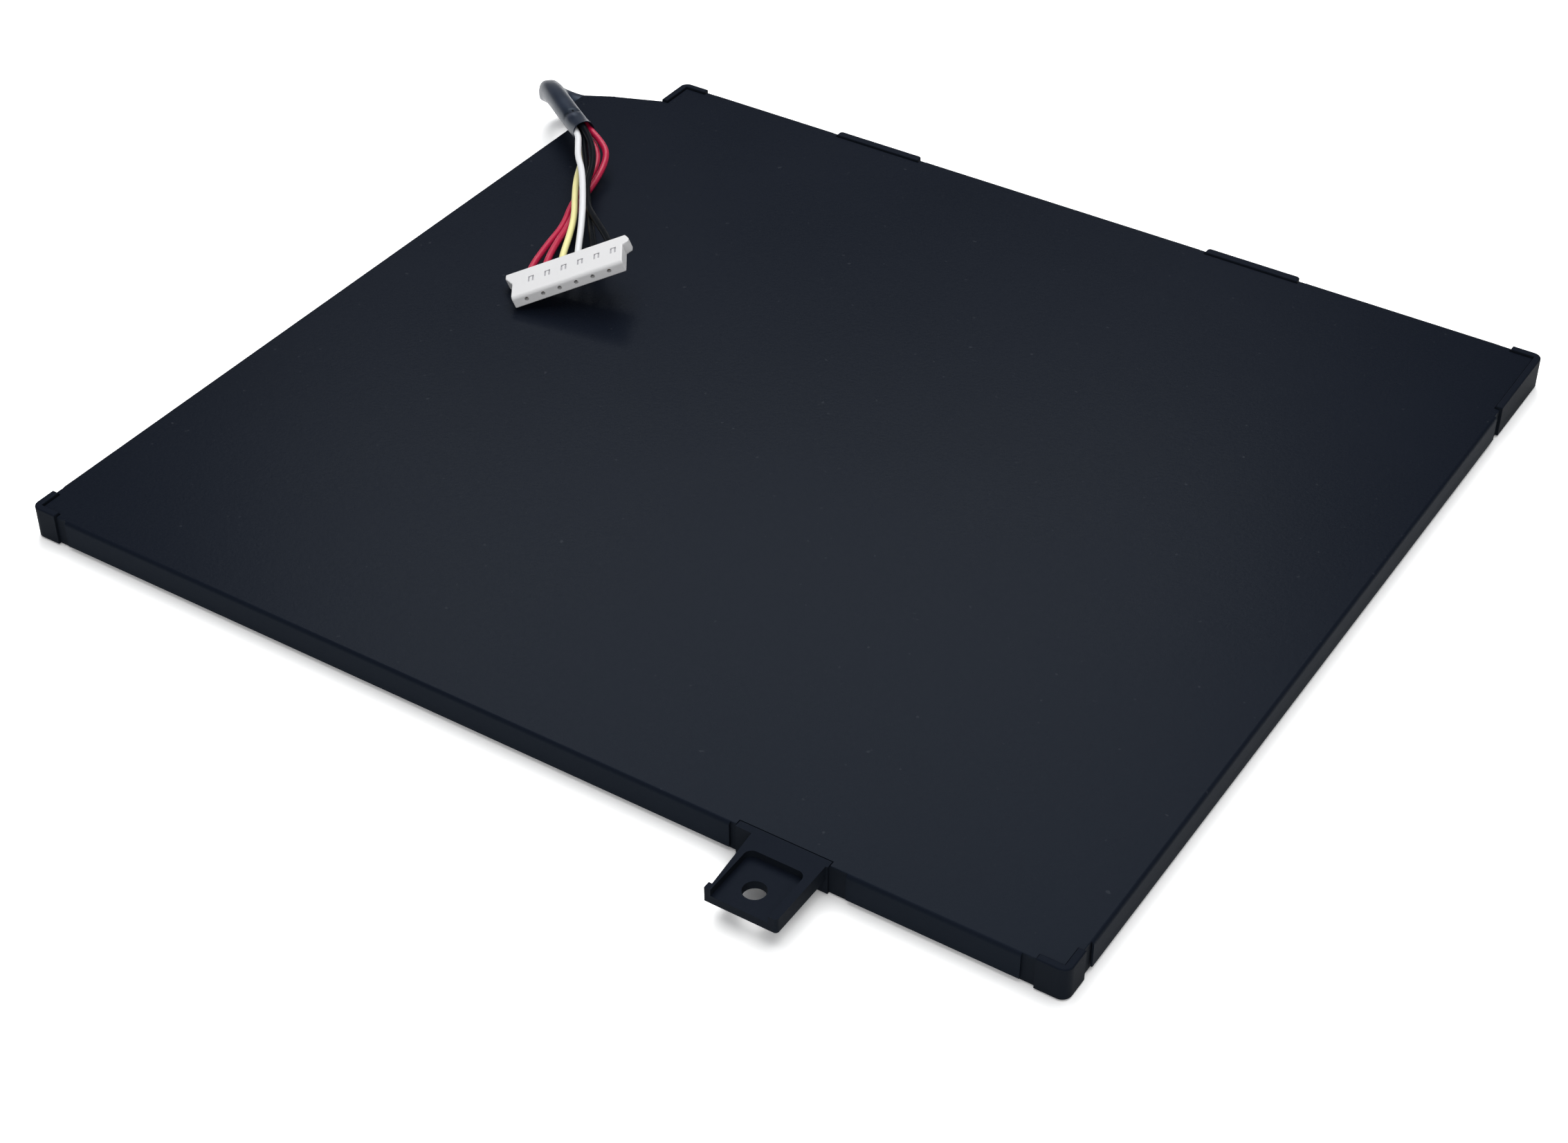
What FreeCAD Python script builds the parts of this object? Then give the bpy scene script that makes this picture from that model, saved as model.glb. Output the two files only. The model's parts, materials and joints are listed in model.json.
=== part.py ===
import FreeCAD
import Part
import Sketcher

import math
import os
import re

# A flat tablet battery: a moulded frame round two pouch cells, film on top and below, a circuit board
# in a bay along the back wall, and a six-wire lead that leaves the back left corner and ends in a connector.
# The origin is the middle of the underside. X runs along the front edge, Y to the back, Z up. Millimetres.

Vector = FreeCAD.Vector

SIZES = {
    # Pack and film
    "pack_width": 120.0,
    "pack_depth": 109.6,
    "film_plane": 3.3,
    "film_thickness": 0.2,
    "flap_gap": 0.1,
    "flap_foot": 0.3,
    "film_bend": 0.4,
    "film_clearance": 0.1,
    # Tail of the film over the lead
    "tail_root": 0.6,
    "tail_reach": 3.3,
    "tail_shoulder": 1.3,
    "tail_front": 5.6,
    "tail_slant": 0.3,
    "tail_tip_front": 3.4,
    "tail_tip_back": 1.3,
    "tail_back": 0.65,
    # Frame walls
    "wall": 1.2,
    "rebate_lip": 0.6,
    "rib_thickness": 0.8,
    "cut_length": 5.9,
    "cut_depth": 5.1,
    "cut_slope": 2.45,
    # Corner posts
    "post_rise": 0.3,
    "post_width": 0.8,
    "post_radius": 1.0,
    "edge_round": 0.15,
    "short_arm": 3.2,
    "back_arm": 3.5,
    "side_arm": 12.0,
    "flap_break": 1.4,
    # Lugs on the back wall
    "lug_length": 11.6,
    "lug_spacing": 50.2,
    "lug_proud": 0.25,
    "lug_drop": 0.05,
    "lug_radius": 0.4,
    "lug_break": 0.9,
    # Screw tab on the front wall
    "tab_centre": 32.0,
    "tab_width": 7.8,
    "tab_reach": 7.85,
    "tab_taper": 0.6,
    "tab_thickness": 1.65,
    "tab_radius": 0.8,
    "tab_corner": 0.35,
    "tab_nub": 0.35,
    "nub_length": 0.75,
    "tab_floor": 0.9,
    "tab_rim": 0.9,
    "recess_start": 1.7,
    "screw_hole": 2.3,
    "screw_reach": 5.2,
    "screw_shift": 0.13,
    "root_margin_left": 1.7,
    "root_margin_right": 0.2,
    "root_gap_left": 0.7,
    "root_gap_right": 1.9,
    # Cells
    "cell_clearance": 0.15,
    "tape_thickness": 0.1,
    "tape_margin": 6.0,
    "cell_edge": 0.6,
    "bay_depth": 11.2,
    "terrace_width": 36.0,
    "terrace_depth": 2.3,
    "terrace_thickness": 0.4,
    "cell_tab_width": 4.0,
    "cell_tab_length": 3.5,
    "cell_tab_thickness": 0.15,
    "cell_tab_spacing": 24.0,
    # Circuit board and its parts
    "board_end_gap": 2.9,
    "board_width": 8.5,
    "board_thickness": 0.6,
    "board_clearance": 0.2,
    "board_height": 0.95,
    "ledge_width": 1.0,
    "weld_pad_length": 4.6,
    "weld_pad_width": 2.2,
    "weld_pad_thickness": 0.15,
    "chip_height": 0.8,
    "small_part_height": 0.5,
    "cover_tape_thickness": 0.07,
    "cover_tape_length": 70.0,
    "cover_tape_margin": 0.5,
    # Lead
    "wire_diameter": 0.78,
    "wire_spacing": 0.83,
    "sleeve_bore": 2.56,
    "sleeve_wall": 0.11,
    "outlet_drop": 1.62,
    "outlet_inset": 0.45,
    "outlet_clearance": 0.08,
    "outlet_length": 5.2,
    "outlet_width": 3.1,
    "solder_pitch": 1.04,
    "solder_length": 1.2,
    "solder_width": 0.8,
    "solder_front": 0.3,
    "solder_film": 0.03,
    "board_overhang": 0.35,
    "gather_reach": 2.3,
    "bundle_lead": 2.2,
    "mouth_lead": 0.5,
    # Connector
    "pole_pitch": 2.0,
    "body_left": 1.65,
    "body_right": 1.8,
    "flange_left": 2.55,
    "flange_right": 2.5,
    "flange_depth_left": 2.4,
    "flange_depth_right": 1.85,
    "flange_end": 0.8,
    "flange_slant": 0.4,
    "housing_depth": 5.3,
    "housing_thickness": 1.5,
    "housing_edge": 0.15,
    "nose_round": 0.45,
    "cavity_size": 1.0,
    "mating_wall": 0.6,
    "mating_hole": 0.5,
    "window_start": 1.95,
    "window_length": 1.1,
    "window_width": 0.7,
    "window_slot": 0.2,
    "window_depth": 0.15,
    "window_shift": 0.7,
    "terminal_clearance": 0.1,
    "terminal_bore": 0.6,
    "crimp_depth": 0.8,
    "connector_turn": 34.5,
    "connector_rise": 20.5,
    "connector_right": 22.95,
    "connector_front": 39.93,
    "connector_rest": 0.03,
    "wire_approach": 0.7,
}

# What the pieces share: each line is worked out from the sizes and the lines above it.
FITS = {
    "half_width": "pack_width / 2",
    "half_depth": "pack_depth / 2",
    "flap_recess": "film_thickness + flap_gap",
    "film_seat": "film_plane - film_thickness",
    "post_top": "film_plane + post_rise",
    "cut_span": "sqrt(cut_length * cut_length + cut_slope * cut_slope)",
    "inner_right": "half_width - flap_recess - wall",
    "inner_front": "-half_depth + flap_recess + wall",
    "inner_back": "half_depth - flap_recess - wall",
    "bay_front": "inner_back - bay_depth",
    "tab_left": "tab_centre - tab_width / 2",
    "tab_right": "tab_centre + tab_width / 2",
    "tab_front": "-half_depth - tab_reach",
    "tab_bottom": "film_plane - tab_thickness",
    "root_left": "tab_left - root_margin_left",
    "root_right": "tab_right + root_margin_right",
    "cell_floor": "film_thickness + tape_thickness",
    "cell_top": "film_seat - cell_clearance",
    "cell_width": "inner_right - rib_thickness / 2 - 2 * cell_clearance",
    "cell_middle": "(inner_right + rib_thickness / 2) / 2",
    "cell_front": "inner_front + cell_clearance",
    "cell_back": "bay_front - cell_clearance",
    "board_top": "board_height + board_thickness",
    "board_back": "inner_back - board_clearance",
    "board_front": "board_back - board_width",
    "board_left": "-half_width + cut_length + wall + board_end_gap",
    "board_length": "-2 * board_left",
    "cell_tab_height": "board_top + weld_pad_thickness",
    "chip_top": "board_top + chip_height",
    "outlet_y": "half_depth - cut_depth - cut_slope - outlet_inset",
    "outlet_z": "film_plane - outlet_drop",
    "outlet_floor": "outlet_z - sleeve_bore / 2 - sleeve_wall - outlet_clearance",
}

# The sleeve's route from the outlet: out of the corner, up, round and back over the film.
SLEEVE_ROUTE = [
    (3.2, -0.2, 0.0),
    (-0.2, 0.0, 0.0),
    (-3.6, -1.3, -0.1),
    (-6.2, -2.7, 1.0),
    (-6.2, -4.9, 3.3),
    (-3.4, -7.2, 4.7),
    (2.3, -11.5, 5.3),
    (6.5, -14.2, 5.3),
]

# Each wire: its place on the board counted from the front, its place round the middle wire of the bundle
# in degrees (None is the middle wire), and its points from the outlet after it leaves the sleeve.
WIRES = {
    "wire_red_1": (0, 306, [
        (8.3, -14.6, 4.3), (9.6, -15.6, 3.3), (10.9, -19.7, 2.6), (12.0, -24.8, 2.6), (14.3, -29.7, 2.7),
        (15.8, -34.6, 3.1)]),
    "wire_red_2": (1, 18, [
        (8.4, -13.9, 4.9), (10.5, -14.9, 4.2), (11.6, -18.4, 3.2), (13.4, -25.0, 3.2), (15.7, -30.5, 3.4),
        (17.0, -34.4, 3.8)]),
    "wire_yellow": (2, 234, [
        (6.8, -16.0, 4.3), (9.7, -20.3, 4.2), (13.3, -25.7, 4.4), (17.6, -32.3, 4.6)]),
    "wire_white": (4, 162, [
        (7.6, -17.3, 5.3), (9.1, -19.3, 5.4), (11.6, -21.4, 5.6), (14.8, -25.5, 5.7), (18.4, -30.9, 5.6)]),
    "wire_black_1": (3, None, [
        (8.4, -16.3, 5.0), (11.1, -19.8, 4.5), (14.6, -24.5, 4.5), (19.5, -30.5, 5.4)]),
    "wire_black_2": (5, 90, [
        (9.4, -16.6, 5.8), (12.1, -20.0, 5.4), (15.3, -24.7, 5.5), (19.8, -30.1, 6.4)]),
}

doc = FreeCAD.newDocument("tablet_battery")
nodes = {}


# Sheets and expressions

def add_sheet(name, cells):
    sheet = doc.addObject("Spreadsheet::Sheet", name)
    for row, (alias, text) in enumerate(cells.items(), start=1):
        sheet.set(f"A{row}", alias)
        sheet.set(f"B{row}", text)
        sheet.setAlias(f"B{row}", alias)
    return sheet


def cells_of(text):
    """The expression with each size or fit named by its sheet."""
    def with_sheet(word):
        name = word.group()
        if name in SIZES:
            return f"sizes.{name}"
        if name in FITS:
            return f"fits.{name}"
        return name
    return re.sub(r"[a-z][a-z_0-9]*", with_sheet, text)


sizes = add_sheet("sizes", {alias: str(size) for alias, size in SIZES.items()})
fits = add_sheet("fits", {alias: "=" + cells_of(text).replace("fits.", "") for alias, text in FITS.items()})
doc.recompute()


def value(text):
    return float(sizes.evalExpression(cells_of(text)))


def bind(item, **expressions):
    for name, text in expressions.items():
        item.setExpression(name.replace("__", "."), cells_of(text))


def outlet(point):
    """A point given from the outlet, in the part's frame."""
    return Vector(*point) + Vector(value("-half_width"), value("outlet_y"), value("outlet_z"))


# Sketches and features of a body

def new_body(name):
    body = doc.addObject("PartDesign::Body", name)
    body.Label = name
    nodes[name] = body
    return body


def sketch_on(body, name, offset, role="XY_Plane"):
    plane = next(item for item in body.Origin.OriginFeatures if item.Role == role)
    sketch = body.newObject("Sketcher::SketchObject", name)
    sketch.AttachmentSupport = [(plane, "")]
    sketch.MapMode = "FlatFace"
    bind(sketch, AttachmentOffset__Base__z=offset)
    return sketch


def place_point(sketch, geometry, position, x, y):
    for kind, text in (("DistanceX", x), ("DistanceY", y)):
        index = sketch.addConstraint(Sketcher.Constraint(kind, -1, 1, geometry, position, value(text)))
        sketch.setExpression(f"Constraints[{index}]", cells_of(text))


def draw_loop(sketch, points):
    """A closed loop of straight lines, each corner held by its two distances from the origin."""
    first = sketch.GeometryCount
    corners = [Vector(value(x), value(y), 0) for x, y in points]
    for start, end in zip(corners, corners[1:] + corners[:1]):
        sketch.addGeometry(Part.LineSegment(start, end), False)
    for step, (x, y) in enumerate(points):
        following = first + (step + 1) % len(points)
        sketch.addConstraint(Sketcher.Constraint("Coincident", first + step, 2, following, 1))
        place_point(sketch, first + step, 1, x, y)


def draw_circle(sketch, x, y, diameter):
    centre = Vector(value(x), value(y), 0)
    geometry = sketch.addGeometry(Part.Circle(centre, Vector(0, 0, 1), value(diameter) / 2), False)
    place_point(sketch, geometry, 3, x, y)
    index = sketch.addConstraint(Sketcher.Constraint("Diameter", geometry, value(diameter)))
    sketch.setExpression(f"Constraints[{index}]", cells_of(diameter))


def rectangle(x_low, x_high, y_low, y_high):
    return [(x_low, y_low), (x_high, y_low), (x_high, y_high), (x_low, y_high)]


def feature(body, kind, name, sketch, length):
    item = body.newObject(f"PartDesign::{kind}", name)
    item.Profile = sketch
    bind(item, Length=length)
    doc.recompute()
    return item


def pad(body, name, floor, height, loops):
    sketch = sketch_on(body, f"{name}_sketch", floor)
    for points in loops:
        draw_loop(sketch, points)
    return feature(body, "Pad", name, sketch, height)


def pocket(body, name, top, depth, loops):
    """A pocket cut downwards from the height given as top."""
    sketch = sketch_on(body, f"{name}_sketch", top)
    for points in loops:
        draw_loop(sketch, points)
    return feature(body, "Pocket", name, sketch, depth)


def fillet(body, name, base, radius, wanted):
    item = body.newObject("PartDesign::Fillet", name)
    edges = [f"Edge{index}" for index, edge in enumerate(base.Shape.Edges, start=1) if wanted(edge)]
    item.Base = (base, edges)
    bind(item, Radius=radius)
    doc.recompute()
    return item


def upright_at(places):
    """A test for upright edges that stand at one of the given places in plan."""
    spots = [Vector(value(x), value(y), 0) for x, y in places]

    def wanted(edge):
        low, high = edge.BoundBox.ZMin, edge.BoundBox.ZMax
        flat = edge.BoundBox.XLength + edge.BoundBox.YLength
        middle = Vector(edge.BoundBox.Center.x, edge.BoundBox.Center.y, 0)
        near = any(middle.distanceToPoint(spot) < 1e-4 for spot in spots)
        return near and flat < 1e-4 and high > low
    return wanted


def level_at(text):
    """A test for edges that lie flat at the given height."""
    height = value(text)

    def wanted(edge):
        return abs(edge.BoundBox.ZMin - height) < 1e-4 and abs(edge.BoundBox.ZMax - height) < 1e-4
    return wanted


def along_at(y, z):
    """Picks edges whose ends both lie at this Y and Z."""
    y, z = value(y), value(z)
    return lambda edge: all(abs(end.Y - y) < 1e-4 and abs(end.Z - z) < 1e-4 for end in edge.Vertexes)


def box(name, x, y, z, length, width, height):
    item = doc.addObject("Part::Box", name)
    item.Label = name
    bind(item, Length=length, Width=width, Height=height)
    bind(item, Placement__Base__x=x, Placement__Base__y=y, Placement__Base__z=z)
    nodes[name] = item
    return item


# Outlines in plan

def inset_outline(depth):
    """The walls' outline, with its cut back left corner, moved inwards by depth."""
    left = f"-half_width + flap_recess + {depth}"
    right = f"half_width - flap_recess - {depth}"
    front = f"-half_depth + flap_recess + {depth}"
    back = f"half_depth - flap_recess - {depth}"
    step = f"-half_width + cut_length + {depth}"
    step_y = f"half_depth - cut_depth - {depth} * (cut_span - cut_slope) / cut_length"
    fall = f"cut_slope * (flap_recess + {depth} - cut_length) - {depth} * cut_span"
    low_y = f"half_depth - cut_depth + ({fall}) / cut_length"
    return [(left, front), (right, front), (right, back), (step, back), (step, step_y), (left, low_y)]


def corner_angle(x_side, y_side, x_arm, y_arm, width):
    """An L in plan at a corner of the pack: an arm along each edge, both of one width."""
    def x_at(text):
        return f"{x_side} * (half_width - {text})"

    def y_at(text):
        return f"{y_side} * (half_depth - {text})"
    return [(x_at("0"), y_at("0")), (x_at(x_arm), y_at("0")), (x_at(x_arm), y_at(width)),
            (x_at(width), y_at(width)), (x_at(width), y_at(y_arm)), (x_at("0"), y_at(y_arm))]


CORNERS = [(-1, -1, "short_arm", "short_arm"), (1, -1, "short_arm", "short_arm"), (1, 1, "back_arm", "side_arm")]
CUT_EDGE = "-half_width + cut_length"


def cut_angle(arm, width):
    """The post at the cut corner: an arm along the back edge and one down the whole step."""
    inside = f"{CUT_EDGE} + {width}"
    tip = f"{CUT_EDGE} + {arm}"
    foot = "half_depth - cut_depth"
    shelf = f"half_depth - {width}"
    return [(CUT_EDGE, foot), (inside, foot), (inside, shelf), (tip, shelf), (tip, "half_depth"),
            (CUT_EDGE, "half_depth")]


def lug_span(side, margin):
    middle = f"{side} * lug_spacing / 2"
    return f"{middle} - lug_length / 2 - {margin}", f"{middle} + lug_length / 2 + {margin}"


# Frame

def make_frame():
    body = new_body("frame")
    pad(body, "frame_core", "0", "film_seat", [inset_outline("0")])
    angles = [corner_angle(*corner, "post_width") for corner in CORNERS]
    posts = pad(body, "frame_posts", "0", "post_top", angles + [cut_angle("back_arm", "post_width")])
    post_corners = [(f"{x} * half_width", f"{y} * half_depth") for x, y, _, _ in CORNERS]
    rounds = fillet(body, "frame_post_rounds", posts, "post_radius",
                    upright_at(post_corners + [(CUT_EDGE, "half_depth")]))
    fillet(body, "frame_post_tops", rounds, "edge_round", level_at("post_top"))

    lugs = [rectangle(*lug_span(side, "0"), "half_depth - post_width", "half_depth + lug_proud")
            for side in (-1, 1)]
    lug_pad = pad(body, "frame_lugs", "0", "post_top - lug_drop", lugs)
    lug_corners = [(x, "half_depth + lug_proud") for side in (-1, 1) for x in lug_span(side, "0")]
    lug_rounds = fillet(body, "frame_lug_rounds", lug_pad, "lug_radius", upright_at(lug_corners))
    fillet(body, "frame_lug_tops", lug_rounds, "edge_round", level_at("post_top - lug_drop"))

    root = rectangle("root_left", "root_right", "-half_depth", "-half_depth + post_width")
    pad(body, "tab_root", "0", "film_plane", [root])
    nub_back = "tab_front + nub_length"
    nub_foot = "tab_left + tab_taper"
    tab = [("tab_left", "-half_depth + flap_recess"), (nub_foot, nub_back),
           ("tab_left + tab_taper - tab_nub", nub_back), ("tab_left + tab_taper - tab_nub", "tab_front"),
           ("tab_right", "tab_front"), ("tab_right", "-half_depth + flap_recess")]
    plate = pad(body, "tab_plate", "tab_bottom", "tab_thickness", [tab])
    rounded = fillet(body, "tab_rounds", plate, "tab_corner", upright_at([("tab_right", "tab_front")]))
    recess = rectangle("tab_left + tab_rim", "tab_right - tab_rim", "tab_front - nub_length",
                       "-half_depth - recess_start")
    dip = pocket(body, "tab_recess", "film_plane", "tab_thickness - tab_floor", [recess])
    fillet(body, "tab_recess_rounds", dip, "tab_radius", upright_at(
        [("tab_left + tab_rim", "-half_depth - recess_start"),
         ("tab_right - tab_rim", "-half_depth - recess_start")]))
    hole = sketch_on(body, "screw_hole_sketch", "film_plane")
    draw_circle(hole, "tab_centre - screw_shift", "-half_depth - screw_reach", "screw_hole")
    feature(body, "Pocket", "screw_hole_cut", hole, "film_plane")

    pocket(body, "frame_inside", "post_top", "post_top", [inset_outline("wall")])
    rib_side = "rib_thickness / 2"
    foot = "board_height - film_thickness"
    low_rib = rectangle(f"-{rib_side}", rib_side, "bay_front - rib_thickness", "inner_back + wall / 2")
    ledge = rectangle("-board_length / 2", "board_length / 2", "inner_back - ledge_width", "inner_back + wall / 2")
    pad(body, "frame_low_rib", "film_thickness", foot, [low_rib])
    pad(body, "frame_ledge", "film_thickness", foot, [ledge])
    high_rib = rectangle(f"-{rib_side}", rib_side, "inner_front - wall / 2", "bay_front")
    pad(body, "frame_high_rib", "film_thickness", "film_seat - film_thickness", [high_rib])
    pocket(body, "frame_rebate", "film_thickness", "film_thickness", [inset_outline("rebate_lip")])
    mouth = rectangle("-half_width - post_width", "-half_width + outlet_length",
                      "outlet_y - outlet_width / 2", "outlet_y + outlet_width / 2")
    pocket(body, "frame_outlet", "post_top", "post_top - outlet_floor", [mouth])


# Films

def flap_strip(x_side, y_side, x_arm, y_arm):
    return corner_angle(x_side, y_side, f"({x_arm} + flap_break)", f"({y_arm} + flap_break)", "flap_recess")


def make_top_film():
    body = new_body("top_film")
    outer = rectangle("-half_width", "half_width", "-half_depth", "half_depth")
    inner = rectangle("-half_width + film_thickness", "half_width - film_thickness",
                      "-half_depth + film_thickness", "half_depth - film_thickness")
    sheet = pad(body, "film_block", "flap_foot", "film_plane - flap_foot", [outer])
    fillet(body, "film_folds", sheet, "film_bend", level_at("film_plane"))
    pocket(body, "film_hollow", "film_seat", "film_seat - flap_foot", [inner])

    def through(name, loops):
        pocket(body, name, "post_top", "post_top", loops)
    room = "(post_width + film_clearance)"
    slots = [corner_angle(x, y, f"({x_arm} + film_clearance)", f"({y_arm} + film_clearance)", room)
             for x, y, x_arm, y_arm in CORNERS]
    through("film_post_slots", slots)
    through("film_flap_breaks", [flap_strip(*corner) for corner in CORNERS])
    reach = "half_depth + lug_proud"
    lug_slots = [rectangle(*lug_span(side, "film_clearance"), f"half_depth - {room}", reach) for side in (-1, 1)]
    lug_breaks = [rectangle(*lug_span(side, "lug_break"), "half_depth - flap_recess", reach) for side in (-1, 1)]
    through("film_lug_slots", lug_slots)
    through("film_lug_breaks", lug_breaks)
    through("film_root_slot", [rectangle("root_left - film_clearance", "root_right + film_clearance",
                                         "-half_depth - flap_gap", f"-half_depth + {room}")])
    through("film_root_break", [rectangle("root_left - root_gap_left", "root_right + root_gap_right",
                                          "-half_depth - flap_gap", "-half_depth + flap_recess")])
    past_left = "-half_width - flap_gap"
    past_back = "half_depth + flap_gap"
    step = f"{CUT_EDGE} + {room}"
    tip = f"{CUT_EDGE} + back_arm + film_clearance"
    break_tip = f"{CUT_EDGE} + back_arm + flap_break"
    fold = "half_depth - flap_recess"
    shelf = f"half_depth - {room}"
    edge = "half_depth - cut_depth - film_clearance"
    slope = "half_depth - cut_depth - cut_slope * (1 + flap_gap / cut_length)"
    through("film_cut_corner", [[(past_left, slope), (CUT_EDGE, edge), (step, edge), (step, shelf), (tip, shelf),
                                 (tip, fold), (break_tip, fold), (break_tip, past_back), (past_left, past_back)]])
    mouth = rectangle(past_left, "-half_width + flap_recess", "outlet_y - outlet_width / 2", "half_depth - cut_depth")
    pocket(body, "film_outlet_slot", "film_seat", "film_seat", [mouth])
    tail = [("-half_width + tail_root", "outlet_y - tail_front"),
            ("-half_width - tail_shoulder", "outlet_y - tail_front + tail_slant"),
            ("-half_width - tail_reach", "outlet_y - tail_tip_front"),
            ("-half_width - tail_reach", "outlet_y - tail_tip_back"),
            ("-half_width + tail_root / 2", "outlet_y + tail_back"),
            ("-half_width + tail_root", "outlet_y")]
    pad(body, "film_tail", "film_seat", "film_thickness", [tail])


def make_bottom_film():
    body = new_body("bottom_film")
    pad(body, "bottom_sheet", "0", "film_thickness", [inset_outline("(rebate_lip + film_clearance)")])


# Cells with their tabs and tape

def make_cell(side_name, side):
    name = f"cell_{side_name}"
    middle = f"{side} * cell_middle"
    half = "cell_width / 2"
    body = new_body(name)
    pouch = pad(body, f"{name}_pouch", "cell_floor", "cell_top - cell_floor",
                [rectangle(f"{middle} - {half}", f"{middle} + {half}", "cell_front", "cell_back")])
    corners = [(f"{middle} + {end} * {half}", y) for end in (-1, 1) for y in ("cell_front", "cell_back")]
    fillet(body, f"{name}_rounds", pouch, "cell_edge", upright_at(corners))
    terrace_floor = "cell_tab_height + cell_tab_thickness / 2 - terrace_thickness / 2"
    pad(body, f"{name}_terrace", terrace_floor, "terrace_thickness",
        [rectangle(f"{middle} - terrace_width / 2", f"{middle} + terrace_width / 2",
                   "cell_back - cell_edge", "cell_back + terrace_depth")])
    for pole, place in (("positive", -1), ("negative", 1)):
        x = f"{middle} + {place} * cell_tab_spacing / 2"
        box(f"{name}_{pole}_tab", f"{x} - cell_tab_width / 2", "cell_back + terrace_depth", "cell_tab_height",
            "cell_tab_width", "cell_tab_length", "cell_tab_thickness")
    box(f"{name}_tape", f"{middle} - {half} + tape_margin", "cell_front + tape_margin", "film_thickness",
        "cell_width - 2 * tape_margin", "cell_back - cell_front - 2 * tape_margin", "tape_thickness")


# Circuit board and what sits on it

BOARD_PARTS = {
    # name: (place along the board from its middle, place across it from its front edge, length, width, height)
    "mosfet_1": (-8.0, 4.9, 3.0, 3.0, "chip_height"),
    "mosfet_2": (-3.8, 4.9, 3.0, 3.0, "chip_height"),
    "protection_chip": (6.0, 5.2, 2.4, 2.0, "chip_height"),
    "gauge_chip": (12.0, 5.2, 4.0, 3.0, "chip_height"),
    "thermal_fuse": (-24.0, 4.9, 4.6, 2.8, "chip_height"),
    "sense_resistor": (24.0, 4.9, 6.4, 3.0, "small_part_height"),
    "thermistor": (33.0, 5.2, 1.6, 0.8, "small_part_height"),
    "capacitor_1": (6.0, 2.6, 1.0, 0.6, "small_part_height"),
    "capacitor_2": (9.4, 2.6, 1.0, 0.6, "small_part_height"),
    "capacitor_3": (-8.0, 1.8, 1.0, 0.6, "small_part_height"),
    "capacitor_4": (-3.8, 1.8, 1.0, 0.6, "small_part_height"),
}


def make_board():
    box("circuit_board", "board_left", "board_front", "board_height",
        "board_length", "board_width", "board_thickness")
    pad_back = "cell_back + terrace_depth + cell_tab_length"
    places = [f"{side} * cell_middle + {end} * cell_tab_spacing / 2" for side in (-1, 1) for end in (-1, 1)]
    for number, x in enumerate(places, start=1):
        box(f"weld_pad_{number}", f"{x} - weld_pad_length / 2", f"{pad_back} - weld_pad_width", "board_top",
            "weld_pad_length", "weld_pad_width", "weld_pad_thickness")
    for name, (along, across, length, width, height) in BOARD_PARTS.items():
        box(name, f"{along} - {length} / 2", f"board_front + {across} - {width} / 2", "board_top",
            str(length), str(width), height)
    box("board_insulation_tape", "-cover_tape_length / 2", "board_front + cover_tape_margin", "chip_top",
        "cover_tape_length", "board_width - 2 * cover_tape_margin", "cover_tape_thickness")


# Connector

def connector_placement():
    """The housing lies tilted on the film: the lower left edge of its flange sits connector_rest above it."""
    turned = FreeCAD.Rotation(value("connector_turn"), value("-connector_rise"), 0)
    corner = Vector(value("-2.5 * pole_pitch - flange_left + housing_edge"), 0,
                    value("-housing_thickness / 2 + housing_edge"))
    height = value("film_plane + connector_rest + housing_edge") - turned.multVec(corner).z
    x = value("-half_width + connector_right")
    y = value("outlet_y - connector_front")
    return FreeCAD.Placement(Vector(x, y, height), turned)


def pole_x(pole):
    return f"({pole} - 2.5) * pole_pitch"


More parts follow.
